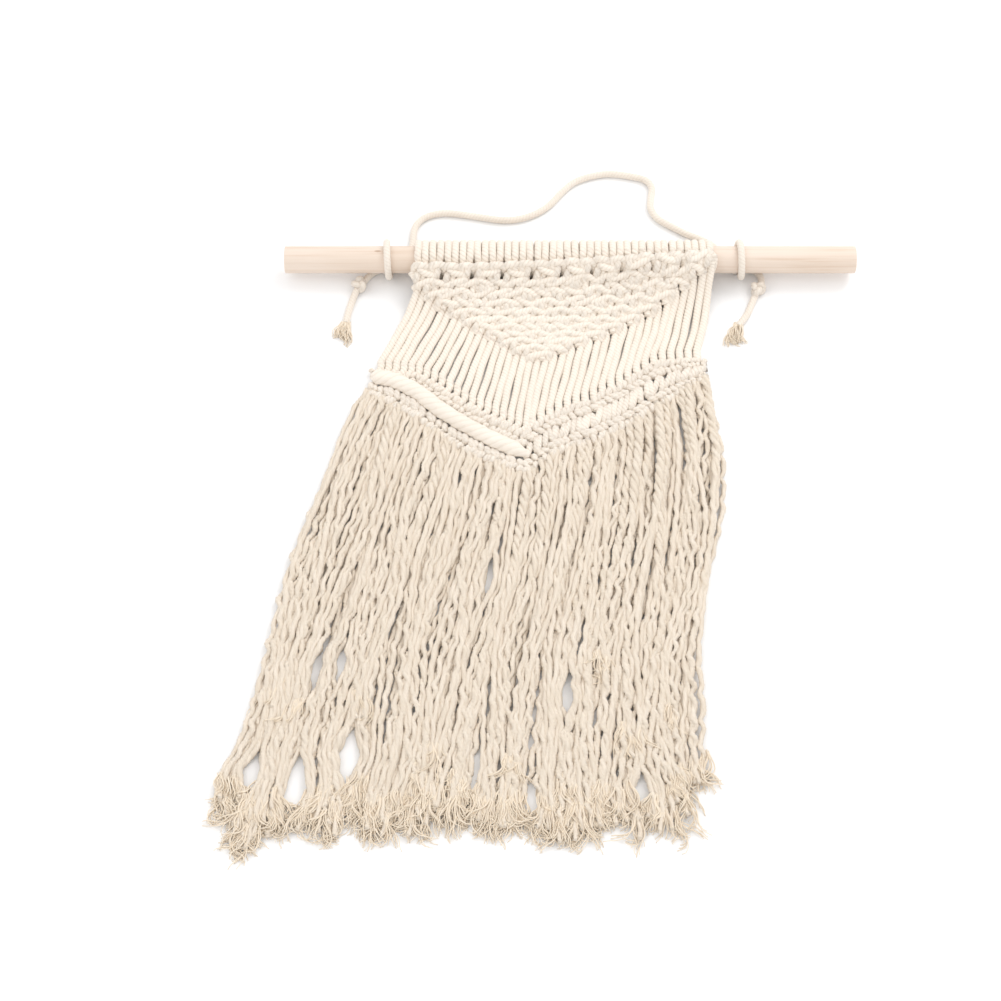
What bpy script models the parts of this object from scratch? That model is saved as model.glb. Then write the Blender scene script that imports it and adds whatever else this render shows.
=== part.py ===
"""Macrame wall hanging, lying flat on its back.

+X runs along the dowel, +Y points to the hanging loop, -Y to the fringe and +Z up from the surface
that it lies on. The origin is on that surface, under the middle of the dowel. Sizes are in metres.
"""

import math

import bmesh
import bpy
from mathutils import Vector

# Colours and roughness
WOOD = ((0.93, 0.76, 0.56), 0.55)
COTTON = ((0.90, 0.83, 0.72), 0.9)
COMBED = ((0.86, 0.76, 0.65), 0.95)
HANGER = ((0.92, 0.84, 0.74), 0.9)

# Overall sizes
DOWEL_LENGTH = 0.400
DOWEL_DIAMETER = 0.019
DOWEL_CHAMFER = 0.0008
HEAD_PITCH = 0.01045  # centre to centre of two lark's heads
CORD_DIAMETER = 0.005  # working cord
HANGER_DIAMETER = 0.0045  # hanging cord
CLEARANCE = 0.0003  # between pieces that touch

# Counts
HEAD_COUNT = 20
KNOT_ROWS = 10
STRAND_COUNT = 2 * HEAD_COUNT
LOCKS_PER_LEG = 4

# Knotted panel
PANEL_CENTRE_X = -0.0045
FRONT_BULGE = 0.0042  # how far a lark's head's bar stands out from its turns
BULGE_ANGLES = (180, 240)  # where the bar lies, in degrees round the dowel from straight down by way of +Y
KNOT_ROW_PITCH = 0.0057
KNOT_HALF_THICKNESS = 0.004
KNOT_SIDE_GAP = 0.00055
NECK_HALF_HEIGHT = 0.0004  # of the cords that run from one knot to the next in its row
NECK_THICKNESS = 0.45  # of the same cords, as a share of a knot's thickness
KNOT_FACE = 0.45  # share of a knot's height that lies flat on its front
KNOT_STATIONS = (0.0, 0.55, 1.0, 1.45)  # sections of a knot, in pitches of the lark's heads
STRAND_DIAMETER = 0.0046  # a working cord drawn tight
STRAND_LIFT = 0.0028  # height of a strand's middle where it lies flat
STRAND_SHEET_GAP = 0.0003  # from the panel's middle line to the strands on each side
GROOVE_LEVEL = 0.35  # how high the groove between two strands lies, as a share of their radius
STRAND_START_GAP = 0.00045  # from a knot to the strand below it
STRAND_END_GAP = 0.0006  # from a strand to the band's upper edge
UPPER_STATIONS = (0.0, 0.3, 0.6, 1.0)  # sections of the strands above the fold, down to it
LOWER_STATIONS = (0.0, 1.0)
PANEL_LEAN = 0.31  # how far the knots drift to -X for each metre down
SLOPE_RISE = 0.0105  # how far the first row is lifted by the dowel
SLOPE_FOOT_Y = -0.045  # where the panel reaches the surface

# Fold line across the loose strands
FOLD_Y = -0.0765  # at x = 0
FOLD_SLOPE = 12.5 / 230

# V-shaped band: at places along X, the Y of its upper edge and of the lower edge of each of its rows
LEFT_LEG = [
    (-0.139, (-0.0850, -0.0868, -0.0965, -0.1050)),
    (-0.099, (-0.0885, -0.1025, -0.1165, -0.1320)),
    (-0.031, (-0.1320, -0.1490, -0.1630, -0.1700)),
]
RIGHT_LEG = [
    (-0.031, (-0.1320, -0.1450, -0.1580, -0.1700)),
    (0.012, (-0.1085, -0.1205, -0.1330, -0.1455)),
    (0.057, (-0.0785, -0.0915, -0.1050, -0.1180)),
    (0.093, (-0.0760, -0.0815, -0.0870, -0.0925)),
]
LEFT_ROWS = (("left_upper_hitch_row", 0.0026), ("left_roll", 0.0042), ("left_lower_hitch_row", 0.0028))
RIGHT_ROWS = (("right_upper_hitch_row", 0.003), ("right_middle_hitch_row", 0.003),
              ("right_lower_hitch_row", 0.003))  # with half their heights
ROLL_LIFT = 0.001  # the roll stands this far off the surface
ROW_GAP = 0.00035  # between two rows of the band, or of knots
BUMP_DEPTH = 0.12  # share of a row's thickness lost between two hitches

# Fringe: its side edges from the band down, and how low each lock's corner reaches
FRINGE_LEFT_EDGE = [
    (-0.139, -0.100), (-0.154, -0.141), (-0.180, -0.233),
    (-0.200, -0.306), (-0.213, -0.362), (-0.236, -0.446),
]
FRINGE_RIGHT_EDGE = [
    (0.093, -0.090), (0.098, -0.149), (0.094, -0.203), (0.086, -0.256),
    (0.075, -0.305), (0.072, -0.362), (0.076, -0.446),
]
TIP_Y = [-0.446, -0.446, -0.441, -0.434, -0.424, -0.436, -0.441, -0.432, -0.403]
LOCK_STATIONS = [(0.0, 0.0055), (0.08, 0.0075), (0.28, 0.008), (0.5, 0.007), (0.75, 0.0055), (1.0, 0.003)]
LOCK_SIDE_GAP = 0.0004
LOCK_SHOULDER = 0.2  # share of a lock's width that rounds off at each side
LOCK_EDGE_LEVEL = 0.45  # how high its side edges lie, as a share of its thickness

# Hanging cord: turn on the dowel, route of the loop, tails, stopper knots, frayed tips
LEFT_HITCH_X = -0.128
RIGHT_HITCH_X = 0.119
CORD_LIFT = 0.0025  # height of a free cord's middle
LOOP_ROUTE = [
    (-0.1236, -0.0005), (-0.1195, 0.0045), (-0.1155, 0.0105), (-0.1128, 0.0165), (-0.1112, 0.0230),
    (-0.1108, 0.0310), (-0.1092, 0.0385), (-0.1040, 0.0450), (-0.0950, 0.0490), (-0.0840, 0.0495),
    (-0.0680, 0.0470), (-0.0490, 0.0437), (-0.0360, 0.0445), (-0.0240, 0.0490), (-0.0140, 0.0565),
    (-0.0050, 0.0680), (0.0040, 0.0770), (0.0160, 0.0825), (0.0300, 0.0850), (0.0450, 0.0828),
    (0.0555, 0.0795), (0.0602, 0.0725), (0.0592, 0.0620), (0.0590, 0.0535), (0.0635, 0.0450),
    (0.0730, 0.0380), (0.0840, 0.0312), (0.0945, 0.0260), (0.1020, 0.0205), (0.1072, 0.0135),
    (0.1112, 0.0065), (0.1146, -0.0005),
]
LEFT_LEAD_ROUTE = [(-0.1315, 0.0010), (-0.1360, -0.0010), (-0.1402, -0.0040), (-0.1443, -0.0091)]
LEFT_TAIL_ROUTE = [(-0.1504, -0.0191), (-0.1530, -0.0280), (-0.1552, -0.0370), (-0.1565, -0.0450)]
RIGHT_LEAD_ROUTE = [
    (0.1224, 0.0015), (0.1272, 0.0008), (0.1318, -0.0020), (0.1343, -0.0060), (0.1346, -0.0112),
]
RIGHT_TAIL_ROUTE = [(0.1292, -0.0236), (0.1262, -0.0310), (0.1228, -0.0390), (0.1165, -0.0475)]
# Stopper knots: middle, width, length and height, and turn in degrees
LEFT_STOPPER = ((-0.1478, -0.0137), (0.0100, 0.0125, 0.0088), 28)
RIGHT_STOPPER = ((0.1317, -0.0178), (0.0092, 0.0118, 0.0084), -24)
LEFT_TIP = ((-0.1575, -0.0645), 0.024)  # end and width of the frayed fan
RIGHT_TIP = ((0.1105, -0.0710), 0.018)
TIP_THICKNESS = 0.0045
TIP_NECK = (0.4, 0.5)  # place along a frayed fan, and its width there as a share of the end's
TIP_END_THICKNESS = 0.5
TIP_SECTION = ((-1, 0.3), (-0.6, 1), (0.6, 1), (1, 0.3), (0.6, 0), (-0.6, 0))  # width and height shares
STOPPER_FLAT = 0.42  # how far below a stopper's middle it is cut flat, as a share of its whole height

# Facets
HEAD_SIDES = 12
DOWEL_SIDES = 32
ROW_SIDES = 6
ROLL_SIDES = 10
ROLL_SECTIONS = 27
HITCH_TURN_SIDES = 20
HITCH_CORD_SIDES = 8
STOPPER_SEGMENTS = 10
STOPPER_RINGS = 6
CORD_BEVEL_STEPS = 2
CORD_POINT_SPACING = 2.2  # in diameters
CURVE_SAMPLES = 12  # between two route points
ROOT_STEPS = 12  # passes that find where a place across the fringe meets the band
# Least angles between two faces that shade as an edge, in degrees
SHARP = 40
HEAD_SHARP = 30
KNOT_SHARP = 60
STRAND_SHARP = 25

# Values that follow from the ones above
DOWEL_RADIUS = DOWEL_DIAMETER / 2
HEAD_BORE = DOWEL_RADIUS + CLEARANCE
HEAD_OUTER = HEAD_BORE + CORD_DIAMETER
AXIS_Z = HEAD_OUTER
HEAD_WIDTH = HEAD_PITCH - CLEARANCE
STRAND_PITCH = HEAD_PITCH / 2
PANEL_LEFT = PANEL_CENTRE_X - HEAD_COUNT * HEAD_PITCH / 2
PANEL_TOP_Y = -HEAD_OUTER - CLEARANCE
KNOT_HALF_HEIGHT = KNOT_ROW_PITCH - NECK_HALF_HEIGHT - ROW_GAP
FIRST_ROW_Y = PANEL_TOP_Y - KNOT_HALF_HEIGHT
BAND_LEFT_X = LEFT_LEG[0][0]
APEX_X = RIGHT_LEG[0][0]
BAND_RIGHT_X = RIGHT_LEG[-1][0]


def clear_scene():
    for item in list(bpy.data.objects):
        bpy.data.objects.remove(item, do_unlink=True)


def make_material(name, colour, roughness):
    material = bpy.data.materials.new(name)
    material.use_nodes = True
    shader = material.node_tree.nodes["Principled BSDF"]
    shader.inputs["Base Color"].default_value = (*colour, 1.0)
    shader.inputs["Roughness"].default_value = roughness
    shader.inputs["Metallic"].default_value = 0.0
    material.diffuse_color = (*colour, 1.0)
    return material


def add_object(name, data, material):
    item = bpy.data.objects.new(name, data)
    bpy.context.scene.collection.objects.link(item)
    data.materials.append(material)
    return item


def finish_mesh(name, bm, material, sharp_angle=SHARP):
    """Turns a bmesh of closed shells into one named object, shaded smooth."""
    bmesh.ops.recalc_face_normals(bm, faces=bm.faces)
    mesh = bpy.data.meshes.new(name)
    bm.to_mesh(mesh)
    bm.free()
    mesh.shade_smooth()
    mesh.set_sharp_from_angle(angle=math.radians(sharp_angle))
    return add_object(name, mesh, material)


def add_loft(bm, rings):
    """Closed shell through rings of equal length, with a cap on the first and the last."""
    made = [[bm.verts.new(point) for point in ring] for ring in rings]
    for ring, after in zip(made, made[1:]):
        for i in range(len(ring)):
            j = (i + 1) % len(ring)
            bm.faces.new((ring[i], ring[j], after[j], after[i]))
    bm.faces.new(made[0][::-1])
    bm.faces.new(made[-1])


def add_ring_band(bm, outer, inner, x_low, x_high):
    """Closed band whose outer and inner outlines, in Y and Z, run along X."""
    count = len(outer)
    loops = [
        [bm.verts.new((x, y, z)) for y, z in outline]
        for outline, x in ((outer, x_low), (outer, x_high), (inner, x_high), (inner, x_low))
    ]
    for loop, after in zip(loops, loops[1:] + loops[:1]):
        for i in range(count):
            j = (i + 1) % count
            bm.faces.new((loop[i], loop[j], after[j], after[i]))


def smooth_step(value):
    t = min(1.0, max(0.0, value))
    return t * t * (3 - 2 * t)


def mix(low, high, share):
    return low + (high - low) * share


def value_at(points, y):
    """X on an edge given as (x, y) points that run to -Y."""
    for (x0, y0), (x1, y1) in zip(points, points[1:]):
        if y >= y1:
            return mix(x0, x1, (y - y0) / (y1 - y0))
    return points[-1][0]


def smooth_route(route, lift, diameter):
    """Even points on a smooth curve through a flat route."""
    ends = [route[0], *route, route[-1]]
    dense = []
    for before, start, end, after in zip(ends, ends[1:], ends[2:], ends[3:]):
        for step in range(CURVE_SAMPLES):
            t = step / CURVE_SAMPLES
            weights = (
                -0.5 * t**3 + t**2 - 0.5 * t,
                1.5 * t**3 - 2.5 * t**2 + 1,
                -1.5 * t**3 + 2 * t**2 + 0.5 * t,
                0.5 * t**3 - 0.5 * t**2,
            )
            corners = (before, start, end, after)
            x = sum(w * p[0] for w, p in zip(weights, corners))
            y = sum(w * p[1] for w, p in zip(weights, corners))
            dense.append(Vector((x, y, lift)))
    dense.append(Vector((*route[-1], lift)))
    lengths = [0.0]
    for start, end in zip(dense, dense[1:]):
        lengths.append(lengths[-1] + (end - start).length)
    count = max(3, round(lengths[-1] / (CORD_POINT_SPACING * diameter)) + 1)
    points = []
    place = 0
    for i in range(count):
        goal = lengths[-1] * i / (count - 1)
        while place < len(dense) - 2 and lengths[place + 1] < goal:
            place += 1
        span = lengths[place + 1] - lengths[place]
        points.append(dense[place].lerp(dense[place + 1], (goal - lengths[place]) / span))
    return points


def add_cord(name, route, material):
    """Round cord on the surface, along a route."""
    curve = bpy.data.curves.new(name, "CURVE")
    curve.dimensions = "3D"
    curve.bevel_depth = HANGER_DIAMETER / 2
    curve.bevel_resolution = CORD_BEVEL_STEPS
    curve.use_fill_caps = True
    points = smooth_route(route, CORD_LIFT, HANGER_DIAMETER)
    spline = curve.splines.new("POLY")
    spline.points.add(len(points) - 1)
    for place, point in zip(spline.points, points):
        place.co = (*point, 1.0)
    return add_object(name, curve, material)


def panel_height(y):
    """Height of the knots' middle: on the surface low down, lifted where they hang off the dowel."""
    return KNOT_HALF_THICKNESS + SLOPE_RISE * smooth_step((y - SLOPE_FOOT_Y) / (PANEL_TOP_Y - SLOPE_FOOT_Y))


def lean(y):
    return PANEL_LEAN * min(0.0, y - PANEL_TOP_Y)


def fold_y(x):
    return FOLD_Y + FOLD_SLOPE * x


def band_edge(leg, edge, x):
    """Y of one of the band's edges, counted from the upper one down, at a place on a leg."""
    for (x0, before), (x1, after) in zip(leg, leg[1:]):
        if x <= x1:
            return mix(before[edge], after[edge], (x - x0) / (x1 - x0))
    return leg[-1][1][edge]


def leg_at(x):
    return LEFT_LEG if x < APEX_X else RIGHT_LEG


def band_top(x):
    return band_edge(leg_at(x), 0, x)


def make_dowel(material):
    bm = bmesh.new()
    rings = []
    half = DOWEL_LENGTH / 2
    inset = half - DOWEL_CHAMFER
    tip = DOWEL_RADIUS - DOWEL_CHAMFER
    for x, radius in ((-half, tip), (-inset, DOWEL_RADIUS), (inset, DOWEL_RADIUS), (half, tip)):
        turn = [2 * math.pi * i / DOWEL_SIDES for i in range(DOWEL_SIDES)]
        rings.append([(x, radius * math.cos(a), AXIS_Z + radius * math.sin(a)) for a in turn])
    add_loft(bm, rings)
    finish_mesh("dowel", bm, material)


def head_outlines():
    """Outer and inner outline of a lark's head, with a flat below and the bar's bulge in front."""
    step = 2 * math.pi / HEAD_SIDES
    corner = 1 / math.cos(step / 2)
    bar_from, bar_to = (math.radians(angle) for angle in BULGE_ANGLES)
    outer = []
    inner = []
    for i in range(HEAD_SIDES):
        angle = (i + 0.5) * step
        radius = HEAD_OUTER * corner + (FRONT_BULGE if bar_from < angle < bar_to else 0.0)
        outer.append((radius * math.sin(angle), AXIS_Z - radius * math.cos(angle)))
        bore = HEAD_BORE * corner
        inner.append((bore * math.sin(angle), AXIS_Z - bore * math.cos(angle)))
    return outer, inner


def make_larks_heads(material):
    outer, inner = head_outlines()
    for i in range(HEAD_COUNT):
        bm = bmesh.new()
        low = PANEL_LEFT + i * HEAD_PITCH + CLEARANCE / 2
        add_ring_band(bm, outer, inner, low, low + HEAD_WIDTH)
        finish_mesh(f"larks_head_{i + 1:02d}", bm, material, HEAD_SHARP)


def knot_ring(x, y, share):
    """Section of a knot row in a leaning plane. Share is 1 at a knot's middle and 0 between two knots."""
    half_y = mix(NECK_HALF_HEIGHT, KNOT_HALF_HEIGHT, share)
    half_z = mix(NECK_THICKNESS, 1.0, math.sqrt(share)) * KNOT_HALF_THICKNESS
    face = KNOT_FACE
    ring = []
    for along, level in ((1, 0), (face, 1), (-face, 1), (-1, 0), (-face, -1), (face, -1)):
        place_y = y + along * half_y
        sink = KNOT_HALF_THICKNESS - half_z
        height = panel_height(place_y) - sink + level * half_z
        ring.append((x + lean(place_y), place_y, height))
    return ring


def make_square_knots(material):
    """Each row is one string of lozenge-shaped knots, whose cords run on from knot to knot."""
    for row in range(KNOT_ROWS):
        bm = bmesh.new()
        y = FIRST_ROW_Y - row * KNOT_ROW_PITCH
        low = PANEL_LEFT + row * HEAD_PITCH
        rings = []
        for knot in range(KNOT_ROWS - row):
            for across in KNOT_STATIONS:
                start = KNOT_SIDE_GAP if not rings else 0.0
                x = low + (2 * knot + across) * HEAD_PITCH + start
                rings.append(knot_ring(x, y, 1 - abs(across - 1)))
        last = low + 2 * (KNOT_ROWS - row) * HEAD_PITCH - KNOT_SIDE_GAP
        rings.append(knot_ring(last, y, 0.0))
        add_loft(bm, rings)
        finish_mesh(f"square_knot_row_{row + 1:02d}", bm, material, KNOT_SHARP)


def strand_line(place):
    """Start and end of the line that a place across the panel follows. Place 0.5 is the first strand."""
    half = STRAND_COUNT / 2
    from_edge = min(place, STRAND_COUNT - place)
    start_y = FIRST_ROW_Y - NECK_HALF_HEIGHT - from_edge / 2 * KNOT_ROW_PITCH - STRAND_START_GAP
    start_x = PANEL_LEFT + place * STRAND_PITCH + lean(start_y)
    if place <= half:
        end_x = mix(BAND_LEFT_X, APEX_X, place / half)
    else:
        end_x = mix(APEX_X, BAND_RIGHT_X, place / half - 1)
    return (start_x, start_y), (end_x, band_top(end_x) + STRAND_END_GAP)


def fold_share(start, end):
    """How far along its line a strand crosses the fold."""
    start_over = start[1] - fold_y(start[0])
    end_over = end[1] - fold_y(end[0])
    return start_over / (start_over - end_over)


def add_sheet(bm, top, bottom):
    """Closed sheet from two grids of points of one size."""
    rows = len(top)
    columns = len(top[0])
    over = [[bm.verts.new(point) for point in row] for row in top]
    under = [[bm.verts.new(point) for point in row] for row in bottom]
    for r in range(rows - 1):
        for c in range(columns - 1):
            bm.faces.new((over[r][c], over[r][c + 1], over[r + 1][c + 1], over[r + 1][c]))
            bm.faces.new((under[r][c], under[r + 1][c], under[r + 1][c + 1], under[r][c + 1]))
    for r in (0, rows - 1):
        for c in range(columns - 1):
            bm.faces.new((over[r][c], under[r][c], under[r][c + 1], over[r][c + 1]))
    for c in (0, columns - 1):
        for r in range(rows - 1):
            bm.faces.new((over[r][c], over[r + 1][c], under[r + 1][c], under[r][c]))


def make_strand_sheet(name, places, part, stations, material):
    """Strands that lie side by side, as one ribbed sheet above or below the fold."""
    bm = bmesh.new()
    radius = STRAND_DIAMETER / 2
    top = []
    bottom = []
    for station in stations:
        over = []
        under = []
        for place in places:
            start, end = strand_line(place)
            run = math.hypot(end[0] - start[0], end[1] - start[1])
            cut = fold_share(start, end)
            half_gap = CLEARANCE / 2 / run
            low, high = (0.0, cut - half_gap) if part == "upper" else (cut + half_gap, 1.0)
            share = mix(low, high, station)
            x = mix(start[0], end[0], share)
            y = mix(start[1], end[1], share)
            height = STRAND_LIFT + panel_height(y) - KNOT_HALF_THICKNESS
            is_rib = round(2 * place) % 2 == 1
            over.append((x, y, height + (radius if is_rib else GROOVE_LEVEL * radius)))
            under.append((x, y, height - radius))
        top.append(over)
        bottom.append(under)
    add_sheet(bm, top, bottom)
    finish_mesh(name, bm, material, STRAND_SHARP)


def make_strands(material):
    half = STRAND_COUNT // 2
    steps = [step / 2 for step in range(2 * half + 1)]
    inset = STRAND_SHEET_GAP / STRAND_PITCH
    left = [*steps[:-1], half - inset]
    right = [half + inset, *[half + step for step in steps[1:]]]
    for side, places in (("left", left), ("right", right)):
        make_strand_sheet(f"upper_strands_{side}", places, "upper", UPPER_STATIONS, material)
        make_strand_sheet(f"lower_strands_{side}", places, "lower", LOWER_STATIONS, material)


def make_row(name, leg, row, half_height, material):
    """One row of the band, made of sections that stand in X planes, so that the legs mitre at the apex."""
    bm = bmesh.new()
    is_roll = name == "left_roll"
    sides = ROLL_SIDES if is_roll else ROW_SIDES
    count = ROLL_SECTIONS if is_roll else STRAND_COUNT
    lift = ROLL_LIFT if is_roll else 0.0
    flat = 1 / math.cos(math.pi / sides)
    half_gap = CLEARANCE / 2
    x_low = leg[0][0] + (half_gap if leg is RIGHT_LEG else 0.0)
    x_high = leg[-1][0] - (half_gap if leg is LEFT_LEG else 0.0)
    rings = []
    for i in range(count + 1):
        x = mix(x_low, x_high, i / count)
        swell = 1.0 if is_roll or i % 2 else 1.0 - BUMP_DEPTH
        high = band_edge(leg, row, x)
        low = band_edge(leg, row + 1, x)
        half_width = (high - low - ROW_GAP) / 2
        ring = []
        for side in range(sides):
            angle = 2 * math.pi * (side + 0.5) / sides
            y = (high + low) / 2 + swell * half_width * flat * math.cos(angle)
            rise = half_height * flat * math.sin(angle) * (swell if angle < math.pi else 1)
            ring.append((x, y, lift + half_height + rise))
        rings.append(ring)
    add_loft(bm, rings)
    finish_mesh(name, bm, material)


def make_band(material):
    for leg, rows in ((LEFT_LEG, LEFT_ROWS), (RIGHT_LEG, RIGHT_ROWS)):
        for row, (name, half_height) in enumerate(rows):
            make_row(name, leg, row, half_height, material)


def fringe_top(x):
    return band_edge(leg_at(x), -1, x) - ROW_GAP / 2


def fringe_x(share, y):
    return mix(value_at(FRINGE_LEFT_EDGE, y), value_at(FRINGE_RIGHT_EDGE, y), share)


def fringe_root(share):
    """Point on the band's lower edge at a share of the fringe's width."""
    y = band_top(APEX_X)
    for _ in range(ROOT_STEPS):
        y = fringe_top(fringe_x(share, y))
    return y


def make_fringe(material):
    apex_y = fringe_top(APEX_X)
    left_x = value_at(FRINGE_LEFT_EDGE, apex_y)
    right_x = value_at(FRINGE_RIGHT_EDGE, apex_y)
    apex_share = (APEX_X - left_x) / (right_x - left_x)
    shares = [apex_share * i / LOCKS_PER_LEG for i in range(LOCKS_PER_LEG)]
    shares += [mix(apex_share, 1.0, i / LOCKS_PER_LEG) for i in range(LOCKS_PER_LEG + 1)]
    for lock, (low, high) in enumerate(zip(shares, shares[1:])):
        bm = bmesh.new()
        rings = []
        for along, thickness in LOCK_STATIONS:
            ring = []
            for across, level in ((0, LOCK_EDGE_LEVEL), (LOCK_SHOULDER, 1), (1 - LOCK_SHOULDER, 1),
                                  (1, LOCK_EDGE_LEVEL), (1 - LOCK_SHOULDER, 0), (LOCK_SHOULDER, 0)):
                share = mix(low, high, across)
                y = mix(fringe_root(share), mix(TIP_Y[lock], TIP_Y[lock + 1], across), along)
                x = fringe_x(share, y) + LOCK_SIDE_GAP * (0.5 - across)
                ring.append((x, y, level * thickness))
            rings.append(ring)
        add_loft(bm, rings)
        finish_mesh(f"fringe_lock_{lock + 1:02d}", bm, material)


def make_hitch(name, centre_x, material):
    """One round turn of the hanging cord on the dowel."""
    bm = bmesh.new()
    radius = HANGER_DIAMETER / 2
    turn = HEAD_BORE / math.cos(math.pi / HITCH_TURN_SIDES) + radius
    loops = []
    for i in range(HITCH_TURN_SIDES):
        angle = 2 * math.pi * i / HITCH_TURN_SIDES
        loop = []
        for side in range(HITCH_CORD_SIDES):
            round_angle = 2 * math.pi * side / HITCH_CORD_SIDES
            reach = turn + radius * math.cos(round_angle)
            point = (
                centre_x + radius * math.sin(round_angle),
                reach * math.cos(angle),
                AXIS_Z + reach * math.sin(angle),
            )
            loop.append(bm.verts.new(point))
        loops.append(loop)
    for loop, after in zip(loops, loops[1:] + loops[:1]):
        for side in range(HITCH_CORD_SIDES):
            following = (side + 1) % HITCH_CORD_SIDES
            bm.faces.new((loop[side], after[side], after[following], loop[following]))
    finish_mesh(name, bm, material)


def make_stopper(name, place, material):
    """Plump overhand knot, flat where it lies."""
    (x, y), (width, length, height), turn = place
    bm = bmesh.new()
    bmesh.ops.create_uvsphere(bm, u_segments=STOPPER_SEGMENTS, v_segments=STOPPER_RINGS, radius=0.5)
    cosine = math.cos(math.radians(turn))
    sine = math.sin(math.radians(turn))
    for vert in bm.verts:
        across = vert.co.x * width
        along = vert.co.y * length
        level = (max(-STOPPER_FLAT, vert.co.z) + STOPPER_FLAT) / (0.5 + STOPPER_FLAT)
        vert.co = (x + across * cosine - along * sine, y + across * sine + along * cosine, level * height)
    finish_mesh(name, bm, material)


def make_frayed_tip(name, tail_route, end, width, material):
    """Flat fan where a tail's end has come apart, square to the tail where it starts."""
    tail = smooth_route(tail_route, 0.0, HANGER_DIAMETER)
    heading = (tail[-1] - tail[-2]).normalized()
    start = tail[-1] + heading * CLEARANCE
    finish = Vector((*end, 0.0))
    bm = bmesh.new()
    rings = []
    stations = ((0.0, HANGER_DIAMETER / width, 1.0), (*TIP_NECK, 1.0), (1.0, 1.0, TIP_END_THICKNESS))
    for along, spread, thickness in stations:
        centre = start.lerp(finish, along)
        facing = heading.lerp((finish - start).normalized(), along).normalized()
        side = Vector((-facing.y, facing.x, 0.0))
        height = thickness * TIP_THICKNESS
        ring = []
        for across, level in TIP_SECTION:
            point = centre + side * (across * spread * width / 2)
            ring.append((point.x, point.y, level * height))
        rings.append(ring)
    add_loft(bm, rings)
    finish_mesh(name, bm, material)


def make_hanging_cord(material):
    make_hitch("left_hitch", LEFT_HITCH_X, material)
    make_hitch("right_hitch", RIGHT_HITCH_X, material)
    add_cord("hanging_loop", LOOP_ROUTE, material)
    add_cord("left_tail_lead", LEFT_LEAD_ROUTE, material)
    add_cord("left_tail", LEFT_TAIL_ROUTE, material)
    add_cord("right_tail_lead", RIGHT_LEAD_ROUTE, material)
    add_cord("right_tail", RIGHT_TAIL_ROUTE, material)
    make_stopper("left_stopper_knot", LEFT_STOPPER, material)
    make_stopper("right_stopper_knot", RIGHT_STOPPER, material)
    make_frayed_tip("left_frayed_tip", LEFT_TAIL_ROUTE, *LEFT_TIP, material)
    make_frayed_tip("right_frayed_tip", RIGHT_TAIL_ROUTE, *RIGHT_TIP, material)


def main():
    clear_scene()
    wood = make_material("pine_dowel", *WOOD)
    cotton = make_material("cotton_cord", *COTTON)
    combed = make_material("combed_cotton", *COMBED)
    hanger = make_material("hanging_cord_cotton", *HANGER)
    make_dowel(wood)
    make_larks_heads(cotton)
    make_square_knots(cotton)
    make_strands(cotton)
    make_band(cotton)
    make_fringe(combed)
    make_hanging_cord(hanger)


main()
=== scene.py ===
"""Looks of a macrame wall hanging: twisted cotton cord knotted onto a pine dowel, with a combed fringe.

Metres throughout. +X runs along the dowel, +Y points to the hanging loop, -Y to the fringe and +Z up
from the surface that the hanging lies on. A sweep is one cord, and a Skein gathers cords into one mesh.
"""

import math
import random

import bpy
import numpy as np
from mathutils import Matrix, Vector


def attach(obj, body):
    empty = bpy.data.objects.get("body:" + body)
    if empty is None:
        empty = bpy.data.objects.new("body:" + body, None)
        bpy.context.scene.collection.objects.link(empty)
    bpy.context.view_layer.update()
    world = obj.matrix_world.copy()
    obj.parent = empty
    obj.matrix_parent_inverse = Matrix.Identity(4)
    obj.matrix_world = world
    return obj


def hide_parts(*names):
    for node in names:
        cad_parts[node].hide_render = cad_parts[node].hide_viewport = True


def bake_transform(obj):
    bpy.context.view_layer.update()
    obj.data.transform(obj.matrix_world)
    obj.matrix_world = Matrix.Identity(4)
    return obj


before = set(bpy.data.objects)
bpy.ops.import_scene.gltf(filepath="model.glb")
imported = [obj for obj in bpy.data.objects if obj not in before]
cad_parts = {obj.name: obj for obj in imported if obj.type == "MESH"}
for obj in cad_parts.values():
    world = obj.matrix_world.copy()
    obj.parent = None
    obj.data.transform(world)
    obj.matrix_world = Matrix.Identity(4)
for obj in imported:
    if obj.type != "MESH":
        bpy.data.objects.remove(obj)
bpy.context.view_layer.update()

# Dowel and working cord
DOWEL_RADIUS = 0.0095
DOWEL_HALF_LENGTH = 0.2
DOWEL_CHAMFER = 0.0008
AXIS_Z = 0.0148
NICK = (-0.1345, 0.0005, 0.0243)  # middle of a small dark nick
NICK_SCALE = (350.0, 900.0, 900.0)  # one over its half length, half width and half depth
CORD_RADIUS = 0.0025
HANGER_RADIUS = 0.0025
STRAND_PITCH = 0.005225
HEAD_COUNT = 20
HEAD_PITCH = 2 * STRAND_PITCH
STRAND_COUNT = 40
PANEL_LEFT = -0.109
CORD_LAY = 0.0075  # length in which a ply goes once round the cord
HANGER_LAY = 0.0070
PATH_STEP = 0.0008  # between two rings of a swept cord
COARSE_STEP = 0.0009

# Knotted triangle
KNOT_ROWS = 10
KNOT_ROW_PITCH = 0.0057
PANEL_TOP_Y = -0.0151
FIRST_ROW_Y = -0.02005
PANEL_LEAN = 0.31
# Y and Z of the panel's middle surface, from its top down to where it lies flat
PANEL_PROFILE = [
    (-0.0151, 0.0190), (-0.0200, 0.0150), (-0.0257, 0.0112), (-0.0314, 0.0082),
    (-0.0375, 0.0058), (-0.0450, 0.0043), (-0.0550, 0.0040), (-0.2000, 0.0040),
]
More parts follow.
